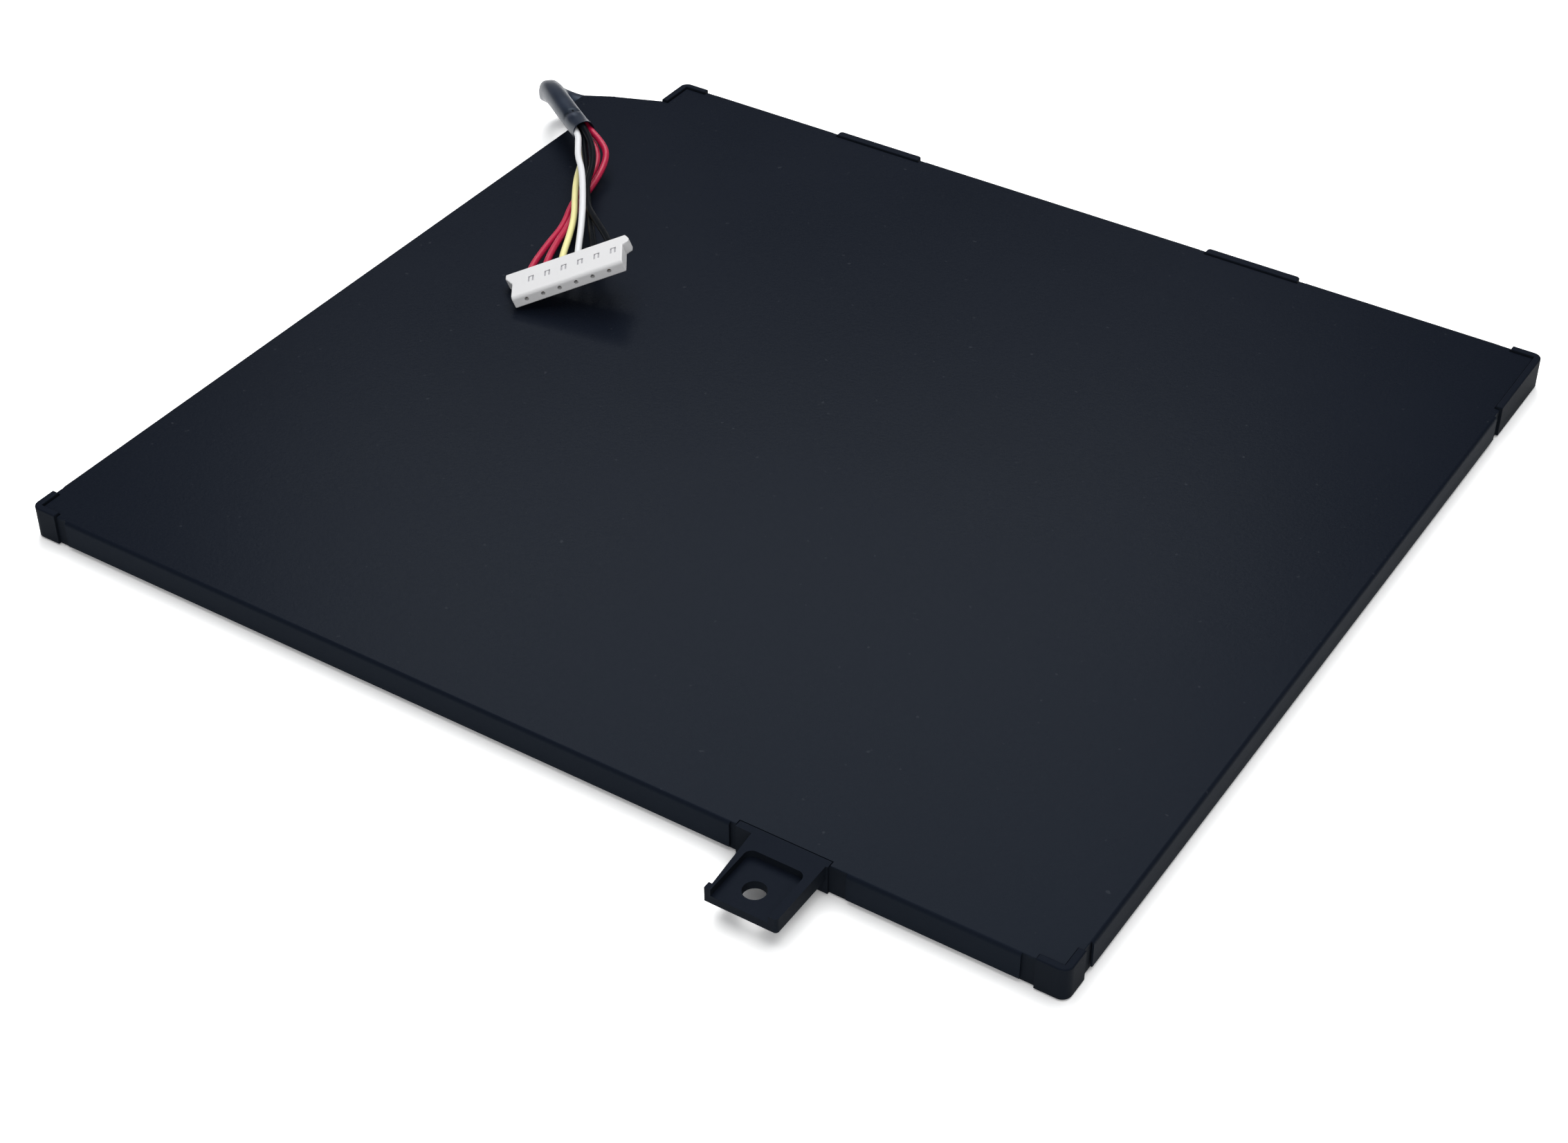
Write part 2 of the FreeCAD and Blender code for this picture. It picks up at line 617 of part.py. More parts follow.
def make_connector(placement):
    body = new_body("connector_housing")
    back = "housing_depth / 2"
    left_lip, right_lip = f"{back} - flange_depth_left", f"{back} - flange_depth_right"
    body_left, body_right = "-2.5 * pole_pitch - body_left", "2.5 * pole_pitch + body_right"
    left, right = "-2.5 * pole_pitch - flange_left", "2.5 * pole_pitch + flange_right"
    plan = [(body_left, f"-{back}"), (body_right, f"-{back}"), (body_right, right_lip),
            (right, f"{right_lip} + flange_slant"), (right, f"{back} - flange_end"), (f"{right} - flange_slant", back),
            (left, back), (left, f"{back} - flange_end"), (body_left, left_lip)]
    block = pad(body, "housing_block", "-housing_thickness / 2", "housing_thickness", [plan])
    inner = upright_at([(body_right, right_lip), (body_left, left_lip)])
    nose = fillet(body, "housing_nose", block, "nose_round", along_at(f"-{back}", "housing_thickness / 2"))
    seams = [along_at(f"-{back} + nose_round", "housing_thickness / 2"),
             along_at(f"-{back}", "housing_thickness / 2 - nose_round")]
    fillet(body, "housing_rounds", nose, "housing_edge",
           lambda edge: not inner(edge) and not any(seam(edge) for seam in seams))
    cavities = [rectangle(f"{pole_x(pole)} - cavity_size / 2", f"{pole_x(pole)} + cavity_size / 2",
                          f"-{back} + mating_wall", f"{back} + mating_wall") for pole in range(6)]
    pocket(body, "housing_cavities", "cavity_size / 2", "cavity_size", cavities)
    top = f"{back} - window_start"
    foot = f"{top} - window_length"
    windows = []
    for pole in range(6):
        low_x = f"{pole_x(pole)} + window_shift - window_width / 2"
        high_x = f"{pole_x(pole)} + window_shift + window_width / 2"
        windows.append([(low_x, foot), (f"{low_x} + window_slot", foot),
                        (f"{low_x} + window_slot", f"{top} - window_slot"),
                        (f"{high_x} - window_slot", f"{top} - window_slot"),
                        (f"{high_x} - window_slot", foot), (high_x, foot), (high_x, top), (low_x, top)])
    pocket(body, "housing_windows", "housing_thickness / 2", "window_depth", windows)
    face = sketch_on(body, "mating_holes_sketch", back, "XZ_Plane")
    for pole in range(6):
        draw_circle(face, pole_x(pole), "0", "mating_hole")
    feature(body, "Pocket", "mating_holes", face, "mating_wall")
    body.Placement = placement

    size = "cavity_size - 2 * terminal_clearance"
    length = "housing_depth - mating_wall - crimp_depth"
    for pole in range(6):
        block = doc.addObject("Part::Box", f"terminal_block_{pole + 1}")
        bind(block, Length=size, Width=length, Height=size)
        bind(block, Placement__Base__x=f"{pole_x(pole)} - ({size}) / 2",
             Placement__Base__y=f"-{back} + mating_wall", Placement__Base__z=f"-({size}) / 2")
        bore = doc.addObject("Part::Cylinder", f"terminal_bore_{pole + 1}")
        bind(bore, Radius="terminal_bore / 2", Height=f"({length}) / 2")
        bore.Placement.Rotation = FreeCAD.Rotation(Vector(1, 0, 0), -90)
        bind(bore, Placement__Base__x=pole_x(pole), Placement__Base__y=f"-{back} + mating_wall")
        name = f"terminal_{pole + 1}"
        contact = doc.addObject("Part::Cut", name)
        contact.Base, contact.Tool, contact.Label = block, bore, name
        contact.Placement = placement
        nodes[name] = contact
    doc.recompute()


# Lead

def rounded_path(points):
    """Straight runs joined by tangent arcs, each as large as its two runs allow, with the arcs' radii."""
    share = 0.45
    edges, radii = [], []
    here = points[0]
    for before, corner, after in zip(points, points[1:], points[2:]):
        arriving, leaving = corner - before, after - corner
        reach = share * min(arriving.Length, leaving.Length)
        turn = arriving.getAngle(leaving)
        start = corner - arriving.normalize() * reach
        end = corner + leaving.normalize() * reach
        radius = reach / math.tan(turn / 2)
        inwards = (start + end) / 2 - corner
        middle = corner + inwards.normalize() * (radius / math.cos(turn / 2) - radius)
        edges.append(Part.LineSegment(here, start).toShape())
        edges.append(Part.Arc(start, middle, end).toShape())
        radii.append(radius)
        here = end
    edges.append(Part.LineSegment(here, points[-1]).toShape())
    return Part.Wire(edges), radii


def round_bar(path, diameter):
    """A round section carried along the path."""
    start = path.Edges[0]
    direction = start.tangentAt(start.FirstParameter)
    circle = Part.Circle(start.valueAt(start.FirstParameter), direction, diameter / 2)
    sweep = Part.BRepOffsetAPI.MakePipeShell(path)
    sweep.add(Part.Wire([circle.toShape()]))
    sweep.build()
    sweep.makeSolid()
    return sweep.shape()


def bundle_route(route, side, rise):
    """The route moved sideways and up at its last run, and carried back along it without a twist."""
    runs = [(end - start).normalize() for start, end in zip(route, route[1:])]
    across = Vector(0, 0, 1).cross(runs[-1]).normalize()
    upwards = runs[-1].cross(across)
    offsets = [across * side + upwards * rise]
    for later, earlier in zip(runs[:0:-1], runs[-2::-1]):
        offsets.insert(0, FreeCAD.Rotation(later, earlier).multVec(offsets[0]))
    moved = [route[0] + offsets[0]]
    for corner, earlier, later, first, second in zip(route[1:], runs, runs[1:], offsets, offsets[1:]):
        # The two moved runs meet where the first has gone on by this much.
        gap = second - first
        square = 1 - earlier.dot(later) ** 2
        along = (gap.dot(earlier) - gap.dot(later) * earlier.dot(later)) / square
        moved.append(corner + first + earlier * along)
    return moved + [route[-1] + offsets[-1]]


def add_cord(name, shape, section, path, radii):
    item = doc.addObject("Part::Feature", name)
    item.Shape = shape
    item.Label = name
    nodes[name] = item
    expected = section * path.Length
    print(f"{name}: length {path.Length:.1f}, smallest radius {min(radii):.2f}, "
          f"volume {shape.Volume:.3f} of {expected:.3f}")


def make_lead(placement):
    route = [outlet(point) for point in SLEEVE_ROUTE]
    last_run = (route[-1] - route[-2]).normalize()
    path, radii = rounded_path(route[:-1] + [route[-1] - last_run * value("mouth_lead")])
    bore = value("sleeve_bore")
    outside = bore + 2 * value("sleeve_wall")
    tube = round_bar(path, outside).cut(round_bar(path, bore))
    add_cord("wire_sleeve", tube, math.pi / 4 * (outside ** 2 - bore ** 2), path, radii)

    diameter = value("wire_diameter")
    spacing = value("wire_spacing")
    first_run = (route[1] - route[0]).normalize()
    bundle_middle = [route[0] - first_run * value("bundle_lead")] + route[1:]
    start_x = value("board_left + solder_length")
    for pole, (name, (row, angle, fan)) in enumerate(WIRES.items()):
        row_y = f"board_front + solder_front + {row} * solder_pitch"
        start = Vector(start_x, value(row_y), value("board_top + solder_film") + diameter / 2)
        board_edge = Vector(value("board_left - board_overhang"), start.y, start.z)
        around = (0, 0)
        if angle is not None:
            around = (spacing * math.cos(math.radians(angle)), spacing * math.sin(math.radians(angle)))
        bundle = bundle_route(bundle_middle, *around)
        gather = Vector(value("board_left - gather_reach"), (start.y + bundle[0].y) / 2, bundle[0].z)
        entry_x = value(pole_x(pole))
        approach = placement.multVec(Vector(entry_x, value("housing_depth / 2 + wire_approach"), 0))
        crimp = placement.multVec(Vector(entry_x, value("housing_depth / 2 - crimp_depth"), 0))
        points = [start, board_edge, gather] + bundle + [outlet(point) for point in fan] + [approach, crimp]
        path, radii = rounded_path(points)
        add_cord(name, round_bar(path, diameter), math.pi / 4 * diameter ** 2, path, radii)
        box(f"solder_joint_{pole + 1}", "board_left + solder_length", f"{row_y} - solder_width / 2", "board_top",
            "solder_length", "solder_width", "wire_diameter + solder_film")


make_frame()
make_top_film()
make_bottom_film()
make_cell("left", -1)
make_cell("right", 1)
make_board()
connector = connector_placement()
make_connector(connector)
make_lead(connector)
doc.recompute()

faults = [item.Name for item in doc.Objects if "Invalid" in item.State or "Error" in item.State]
faults += [name for name, item in nodes.items() if item.Shape.isNull() or not item.Shape.isValid()]
if faults:
    raise RuntimeError(f"these did not build: {faults}")

os.makedirs("parts", exist_ok=True)
for name, item in nodes.items():
    item.Shape.exportStep(f"parts/{name}.step")
    print(f"{name}: {len(item.Shape.Solids)} solid, {item.Shape.Volume:.2f} cubic millimetres")
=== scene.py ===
"""Looks of the tablet battery: film, frame, lead and connector, in metres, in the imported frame."""
import json

import bpy
import numpy as np
from mathutils import Matrix


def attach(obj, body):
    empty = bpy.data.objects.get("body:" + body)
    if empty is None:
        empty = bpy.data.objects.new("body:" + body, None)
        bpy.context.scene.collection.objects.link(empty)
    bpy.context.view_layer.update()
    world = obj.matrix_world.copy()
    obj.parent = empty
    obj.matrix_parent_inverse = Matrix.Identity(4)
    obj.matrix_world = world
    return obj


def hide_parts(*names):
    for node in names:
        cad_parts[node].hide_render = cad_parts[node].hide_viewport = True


MM = 0.001
UP = np.array([0.0, 0.0, 1.0])

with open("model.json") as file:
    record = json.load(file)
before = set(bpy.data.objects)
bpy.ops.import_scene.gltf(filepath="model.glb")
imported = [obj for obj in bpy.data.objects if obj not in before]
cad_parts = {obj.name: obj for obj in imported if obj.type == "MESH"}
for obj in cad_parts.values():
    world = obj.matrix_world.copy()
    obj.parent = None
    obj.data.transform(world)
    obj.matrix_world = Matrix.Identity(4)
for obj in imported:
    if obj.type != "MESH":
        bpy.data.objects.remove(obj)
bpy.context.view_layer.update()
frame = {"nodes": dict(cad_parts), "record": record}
nodes = frame["nodes"]

# Lead, in millimetres: the outlet at the corner of the pack, and the sleeve's route from there
OUTLET = np.array([-60.0, 46.8, 1.68])
SLEEVE_ROUTE = np.array([
    (3.2, -0.2, 0.0), (-0.2, 0.0, 0.0), (-3.6, -1.3, -0.1), (-6.2, -2.7, 1.0),
    (-6.2, -4.9, 3.3), (-3.4, -7.2, 4.7), (2.3, -11.5, 5.3), (6.5, -14.2, 5.3)])

# Wires, in millimetres: diameter, places on the board, and the bundle that starts before the sleeve does
WIRE = 0.78
WIRE_START = (-48.8, -50.35, -52.3)
FIRST_ROW = 44.9
ROW_PITCH = 1.04
ROW_HEIGHT = 1.97
WIRE_SPACING = 0.83
BUNDLE_LEAD = 2.2

# Connector, in millimetres: turn, rise, middle seen from above, lowest corner, and the film's height there
CONNECTOR_TURN, CONNECTOR_RISE = np.radians((34.5, 20.5))
CONNECTOR_PLACE = (-37.05, 6.87)
CONNECTOR_CORNER = np.array([-7.4, 0.0, -0.6])
CONNECTOR_FOOT = 3.48

# Connector, in its own directions from its middle: poles, ends of the wires, top face and windows
POLE_PITCH = 2.0
WIRE_END = (3.35, 1.85)
# Top face and windows: where the nylon's painted shade on the window floors goes
CONNECTOR_TOP = 0.75
WINDOW_ROW = 6.4
WINDOW_SPAN = (-0.45, 0.75)
WINDOW_EDGE = 0.05
WINDOW_SINK = (0.01, 0.08)

# Each wire: row on the board, degrees round the middle wire, length, finish, points past the sleeve
WIRES = {
    "wire_red_1": (0, 306, 65.4, "red_insulation", [
        (8.3, -14.5, 4.3), (9.8, -16.1, 3.4), (10.9, -19.7, 2.6), (11.9, -24.4, 2.5), (14.3, -29.3, 2.7),
        (15.6, -34.3, 3.1)]),
    "wire_red_2": (1, 18, 66.6, "red_insulation", [
        (8.7, -14.0, 4.9), (10.6, -15.2, 4.2), (11.6, -18.4, 3.1), (13.2, -24.7, 3.0), (15.6, -30.4, 3.3),
        (17.0, -34.4, 3.8)]),
    "wire_yellow": (2, 234, 65.6, "yellow_insulation", [
        (7.4, -15.9, 4.1), (8.9, -18.4, 3.8), (10.6, -21.6, 4.0), (13.0, -25.2, 4.3), (15.9, -29.2, 4.5),
        (17.9, -32.8, 4.6)]),
    "wire_white": (4, 162, 68.0, "white_insulation", [
        (7.7, -17.2, 5.3), (9.3, -19.4, 5.5), (11.7, -21.9, 5.8), (15.0, -26.2, 6.1), (18.6, -31.3, 5.9)]),
    "wire_black_1": (3, None, 66.0, "black_insulation", [
        (7.7, -16.0, 4.9), (9.9, -18.6, 4.2), (12.8, -22.6, 3.9), (17.2, -28.0, 4.5)]),
    "wire_black_2": (5, 90, 68.2, "black_insulation", [
        (9.6, -16.8, 5.7), (11.7, -19.7, 5.3), (13.5, -23.6, 5.0), (16.4, -27.4, 5.2), (20.1, -30.7, 6.1)]),
}

# Sleeve, in millimetres: the tube, its mouth, its fold and its crease
SLEEVE_RADIUS = 1.31
SLEEVE_WALL = 0.08
MOUTH_LEAD = 0.2
MOUTH_WIDENING = 0.05
MOUTH_LIFT = 0.12
TURN_IN = 4.0
FOLD_LEAN = 0.45
CREASE_DEPTH = 0.12
RIDGE_HEIGHT = 0.06
HEADING_STEP = 0.3

# Places along the sleeve, as shares of its length: middle and spread of each, and the mouth's start
FOLD = (0.40, 0.10)
CREASE = (0.874, 0.012)
RIDGE = (0.900, 0.012)
MOUTH_START = 0.92

# Across the sleeve's section, from -1 to 1: where the crease and the ridge end, and where they are full
CREASE_FADE = (0.75, 0.25)
RIDGE_FADE = (0.35, -0.35)

# Power of the sleeve's section on the straight, and what the fold takes off it
STRAIGHT_POWER = 0.90
FOLD_POWER = 0.45

# Rings and sides of the sleeve's mesh, and steps of the splines
OUTER_RINGS = 180
INNER_RINGS = 16
SLEEVE_SIDES = 56
SPLINE_STEPS = 10
WIRE_ROUNDNESS = 4

# Tones, dark and light where there are two
FILM_TOP = ((0.0056, 0.0077, 0.0132), (0.0070, 0.0093, 0.0156))
# Film's flaps: a tone of their own, painted light for how the walls are lit
FILM_SIDE_PAINTED_LIGHT = (0.0076, 0.0104, 0.0158)
FILM_DUST = (0.045, 0.050, 0.060)
FRAME_TOP = ((0.0056, 0.0076, 0.0132), (0.0070, 0.0092, 0.0156))
# Frame's sides: a paler, less blue tone than the top, painted light for how the walls are lit
FRAME_SIDE_PAINTED_LIGHT = ((0.0068, 0.0088, 0.0124), (0.0084, 0.0106, 0.0150))
SLEEVE_SKIN = ((0.010, 0.014, 0.025), (0.018, 0.024, 0.040))
# Painted highlight on the sleeve's ridge, and painted shade in its crease
SLEEVE_RIDGE_HIGHLIGHT = (0.050, 0.056, 0.078)
SLEEVE_CREASE_SHADE = (0.002, 0.002, 0.003)
NYLON = ((0.70, 0.70, 0.71), (0.74, 0.74, 0.745))
# Painted shade on the floors of the connector's windows
NYLON_WINDOW_SHADE = (0.46, 0.46, 0.48)
BOARD_GREEN = ((0.012, 0.085, 0.040), (0.022, 0.125, 0.062))
COOL_SHEEN = (0.55, 0.76, 1.0)

# Grain that moulded plastics share: depth of its pits, their share in the roughness, and the tone's clouding
GRAIN_DEPTH = 0.016 * MM
GRAIN_GLOSS = 0.18
CLOUD_SCALE = 140.0

# Floor: half its side and its drop under the part, in metres, its tone, and what being seen adds to it
FLOOR_HALF = 4.0
FLOOR_DROP = 0.0002
FLOOR_TONE = 0.88
FLOOR_SEEN = 0.60

# Light: the sky, and each lamp's place, target, width and height in metres, and power in watts
SKY = (0.97, 0.985, 1.0)
SKY_STRENGTH = 0.215
LAMPS = {
    "overhead": ((0.05, 0.10, 0.95), (0.0, 0.0, 0.0), (1.1, 0.9), 5.5),
    "front_fill": ((0.30, -0.75, 0.35), (-0.03, 0.0, 0.0), (0.6, 0.4), 3.0),
    "back_softbox": ((-0.156, 0.228, 0.357), (0.01, -0.02, 0.0), (0.28, 0.27), 1.08),
}

# Lamps are turned with the view, so this is its level direction
LAMP_UPRIGHT = (-0.54, 0.84, 0.0)

# Camera, in metres, with its sensor and lens in millimetres
CAMERA_PLACE = (0.127709, -0.203422, 0.175506)
CAMERA_FORWARD = (-0.424656, 0.656765, -0.623158)
CAMERA_UPRIGHT = (-0.337011, 0.524168, 0.782095)
CAMERA_SENSOR = 36.0
CAMERA_LENS = 63.95
CAMERA_NEAREST = 0.01


# Measures

def unit(vectors):
    """The vectors at length 1."""
    return vectors / np.linalg.norm(vectors, axis=-1, keepdims=True)


def fade(values, none, full):
    """0 at none and before it, 1 at full and past it, and straight between them."""
    return np.clip((values - none) / (full - none), 0.0, 1.0)


def bell(values, middle, spread):
    """1 at the middle, less on both sides: exp(-d ^ 2), where d is the distance in spreads."""
    return np.exp(-((values - middle) / spread) ** 2)


def signed_power(values, power):
    """The size of each value raised to the power, with its sign kept."""
    return np.sign(values) * np.abs(values) ** power


def connector_axes():
    """The connector's three directions: along the row of poles, back to the wires, and up."""
    level = np.array([np.cos(CONNECTOR_TURN), np.sin(CONNECTOR_TURN), 0.0])
    along = level * np.cos(CONNECTOR_RISE) + UP * np.sin(CONNECTOR_RISE)
    back = np.cross(UP, level)
    return np.array([along, back, np.cross(along, back)])


def connector_middle():
    """The connector's middle, at the height that puts its lowest corner on the film."""
    corner_height = (CONNECTOR_CORNER @ connector_axes())[2]
    return np.array([*CONNECTOR_PLACE, CONNECTOR_FOOT - corner_height])


# Shader expressions

class Shade:
    """One value of a material, which joins others through the operators."""

    def __init__(self, paint, socket):
        self.paint = paint
        self.socket = socket

    def maths(self, operation, *entries):
        return self.paint.node("Math", {"operation": operation}, dict(enumerate(entries)))

    def __abs__(self):
        return self.maths("ABSOLUTE", self)

    def __add__(self, other):
        return self.maths("ADD", self, other)

    def __sub__(self, other):
        return self.maths("SUBTRACT", self, other)

    def __rsub__(self, other):
        return self.maths("SUBTRACT", other, self)

    def __mul__(self, other):
        return self.maths("MULTIPLY", self, other)

    __radd__ = __add__
    __rmul__ = __mul__


class Paint:
    """A node tree and the one way to add nodes to it."""

    def __init__(self, tree):
        self.tree = tree
        self.tree.nodes.clear()

    def node(self, kind, settings, sockets, output=0):
        """A node of this kind with its settings, then its sockets' values or links; gives one output."""
        made = self.tree.nodes.new(f"ShaderNode{kind}")
        for name, setting in settings.items():
            setattr(made, name, setting)
        for name, entry in sockets.items():
            if isinstance(entry, Shade):
                self.tree.links.new(entry.socket, made.inputs[name])
            elif isinstance(entry, tuple) and made.inputs[name].type == "RGBA":
                made.inputs[name].default_value = (*entry, 1.0)
            else:
                made.inputs[name].default_value = entry
        return Shade(self, made.outputs[output]) if made.outputs else made

    def place(self):
        """Where the surface is, in metres."""
        return self.node("TexCoord", {}, {}, "Object")

    def coordinate(self, vector, axis):
        return self.node("SeparateXYZ", {}, {"Vector": vector}, axis)

    def noise(self, scale, detail, roughness=0.5):
        """Cloudy values from 0 to 1, with scale features in a metre."""
        return self.node("TexNoise", {}, {
            "Vector": self.place(), "Scale": scale, "Detail": detail, "Roughness": roughness})

    def stripes(self, direction, scale):
        """Soft even stripes across X or Y."""
        return self.node("TexWave", {"bands_direction": direction}, {"Vector": self.place(), "Scale": scale})

    def between(self, value, low, high):
        """The value spread so that low gives 0 and high gives 1, held inside that range."""
        return self.node("MapRange", {"clamp": True}, {"Value": value, "From Min": low, "From Max": high})

    def blend(self, share, first, second):
        """The first colour where share is 0, the second where it is 1."""
        return self.node("Mix", {"data_type": "RGBA"}, {0: share, 6: first, 7: second}, 2)

    def upward(self):
        """1 on faces that look up, 0 on upright faces."""
        normal = self.node("NewGeometry", {}, {}, "True Normal")
        return self.between(self.coordinate(normal, "Z"), 0.15, 0.9)

    def attribute(self, name):
        """A value that the piece's own mesh holds."""
        return self.node("Attribute", {"attribute_name": name}, {}, "Fac")

    def bump(self, height, distance, strength, normal=None):
        """The normal that a height of 0 to 1 gives over this distance, on top of another normal if any."""
        sockets = {"Height": height, "Distance": distance, "Strength": strength}
        if normal:
            sockets["Normal"] = normal
        return self.node("Bump", {}, sockets)

    def finish(self, **sockets):
        """The shader of a surface; a socket's name is written with _ for a space."""
        named = {name.replace("_", " "): entry for name, entry in sockets.items()}
        surface = self.node("BsdfPrincipled", {}, named)
        self.node("OutputMaterial", {}, {"Surface": surface})


def new_paint(name):
    """A new material and the paint of its node tree."""
    material = bpy.data.materials.new(name)
    material.use_nodes = True
    return material, Paint(material.node_tree)


# Finishes

def film_finish(name):
    """Dark film: a fine pebbled skin, slow drifts of tone, a few pale specks of dust, and rougher flaps
    whose tone is painted light.
    """
    material, paint = new_paint(name)
    drift = paint.noise(22.0, 3.0, 0.55)
    skin = paint.noise(3200.0, 3.0, 0.6)
    dust = paint.between(paint.noise(1300.0, 1.0), 0.76, 0.82)
    upward = paint.upward()
    top = paint.blend(paint.between(drift, 0.3, 0.7), *FILM_TOP)
    top = paint.blend(dust * 0.35, top, FILM_DUST)
    ripple = paint.bump(paint.noise(95.0, 1.0), 0.06 * MM, 0.35)
    # The flaps' own tone is painted light for how the walls are lit
    paint.finish(
        Base_Color=paint.blend(upward, FILM_SIDE_PAINTED_LIGHT, top),
        Roughness=0.58 - upward * 0.30 + (drift - 0.5) * 0.10 + (skin - 0.5) * 0.10,
        Normal=paint.bump(skin, 0.022 * MM, 0.5, ripple),
        Specular_IOR_Level=0.03, Specular_Tint=COOL_SHEEN)
    return material


def frame_finish(name):
    """Black moulding with an even spark-eroded grain, rougher on its sides than on top; the sides' paler,
    less blue tone is painted light.
    """
    material, paint = new_paint(name)
    cloud = paint.noise(CLOUD_SCALE, 3.0)
    pits = paint.noise(5200.0, 2.0, 0.65)
    upward = paint.upward()
    # The sides' own tone is painted light for how the walls are lit
    side = paint.blend(cloud, *FRAME_SIDE_PAINTED_LIGHT)
    top = paint.blend(cloud, *FRAME_TOP)
    paint.finish(
        Base_Color=paint.blend(upward, side, top),
        Roughness=0.60 - upward * 0.14 + (pits - 0.5) * GRAIN_GLOSS,
        Normal=paint.bump(pits, GRAIN_DEPTH, 0.5),
        Specular_IOR_Level=0.026, Specular_Tint=COOL_SHEEN)
    return material


def moulded_finish(name, dark, light, roughness, grain):
    """Moulded plastic: an even spark-eroded grain and slight clouding of its tone."""
    material, paint = new_paint(name)
    cloud = paint.noise(CLOUD_SCALE, 3.0)
    pits = paint.noise(grain, 2.0, 0.65)
    paint.finish(
        Base_Color=paint.blend(cloud, dark, light),
        Roughness=roughness + (pits - 0.5) * GRAIN_GLOSS + (cloud - 0.5) * 0.08,
        Normal=paint.bump(pits, GRAIN_DEPTH, 0.5),
        Specular_IOR_Level=0.4)
    return material


def insulation_finish(name, dark, light, roughness, shine=0.4):
    """Extruded wire insulation: smooth and waxy, with faint scuffs and handling marks."""
    material, paint = new_paint(name)
    cloud = paint.noise(420.0, 2.0)
    scuff = paint.between(paint.noise(1700.0, 4.0, 0.7), 0.52, 0.74)
    paint.finish(
        Base_Color=paint.blend(cloud, dark, light),
        Roughness=roughness + scuff * 0.16,
        Normal=paint.bump(scuff, 0.008 * MM, 0.4),
        Specular_IOR_Level=shine)
    return material


def sleeve_finish(name):
    """Thin dark tube: a satin skin with soft smudges, painted shade in its crease and a painted highlight on
    the ridge beside it.
    """
    material, paint = new_paint(name)
    smudge = paint.noise(520.0, 3.0, 0.6)
    crease = paint.attribute("crease")
    tone = paint.blend(paint.between(smudge, 0.3, 0.7), *SLEEVE_SKIN)
    # Painted highlight on the ridge, painted shade in the crease
    tone = paint.blend(paint.attribute("ridge") * 0.7, tone, SLEEVE_RIDGE_HIGHLIGHT)
    tone = paint.blend(crease * 0.95, tone, SLEEVE_CREASE_SHADE)
    paint.finish(
        Base_Color=tone,
        Roughness=0.36 + (smudge - 0.5) * 0.2 + crease * 0.4,
        Normal=paint.bump(smudge, 0.04 * MM, 0.4),
        Specular_IOR_Level=0.22, Specular_Tint=COOL_SHEEN)
    return material


def nylon_finish(name):
    """White nylon with a fine even grain, and painted shade on the floors of its windows. In the
    connector's own directions the windows lie across the middle of its top, and their floors lie lower than
    it."""
    material, paint = new_paint(name)
    cloud = paint.noise(CLOUD_SCALE, 3.0)
    pits = paint.noise(7000.0, 2.0, 0.65)
    local = paint.node("Mapping", {"vector_type": "TEXTURE"}, {
        "Vector": paint.place(), "Location": tuple(connector_middle() * MM),
        "Rotation": (0.0, -CONNECTOR_RISE, CONNECTOR_TURN)})
    x, y, z = (paint.coordinate(local, axis) for axis in "XYZ")
    # Painted shade on the window floors, where the surface lies below the top face
    front, back = WINDOW_SPAN
    shallow, deep = WINDOW_SINK
    row = paint.between(abs(x), WINDOW_ROW * MM, (WINDOW_ROW - WINDOW_EDGE) * MM)
    past_front = paint.between(y, front * MM, (front + WINDOW_EDGE) * MM)
    before_back = paint.between(y, back * MM, (back - WINDOW_EDGE) * MM)
    sunk = paint.between(z, (CONNECTOR_TOP - shallow) * MM, (CONNECTOR_TOP - deep) * MM)
    tone = paint.blend(cloud, *NYLON)
    paint.finish(
        Base_Color=paint.blend(row * past_front * before_back * sunk, tone, NYLON_WINDOW_SHADE),
        Roughness=0.42 + (pits - 0.5) * GRAIN_GLOSS,
        Normal=paint.bump(pits, GRAIN_DEPTH, 0.5),
        Specular_IOR_Level=0.4)
    return material


def metal_finish(name, dark, light, roughness, scale):
    """Plain metal strip or solder: its tone and gloss drift in small patches."""
    material, paint = new_paint(name)
    patch = paint.noise(scale, 4.0, 0.6)
    paint.finish(
        Base_Color=paint.blend(patch, dark, light),
        Metallic=1.0,
        Roughness=roughness + (patch - 0.5) * 0.2,
        Normal=paint.bump(patch, 0.01 * MM, 0.3))
    return material


def board_finish(name):
    """Green board: the glass weave shows faintly through the lacquer."""
    material, paint = new_paint(name)
    weave = paint.stripes("X", 620.0) * paint.stripes("Y", 620.0)
    paint.finish(
        Base_Color=paint.blend(weave, *BOARD_GREEN),
        Roughness=0.32 + weave * 0.1,
        Normal=paint.bump(weave, 0.01 * MM, 0.4))
    return material


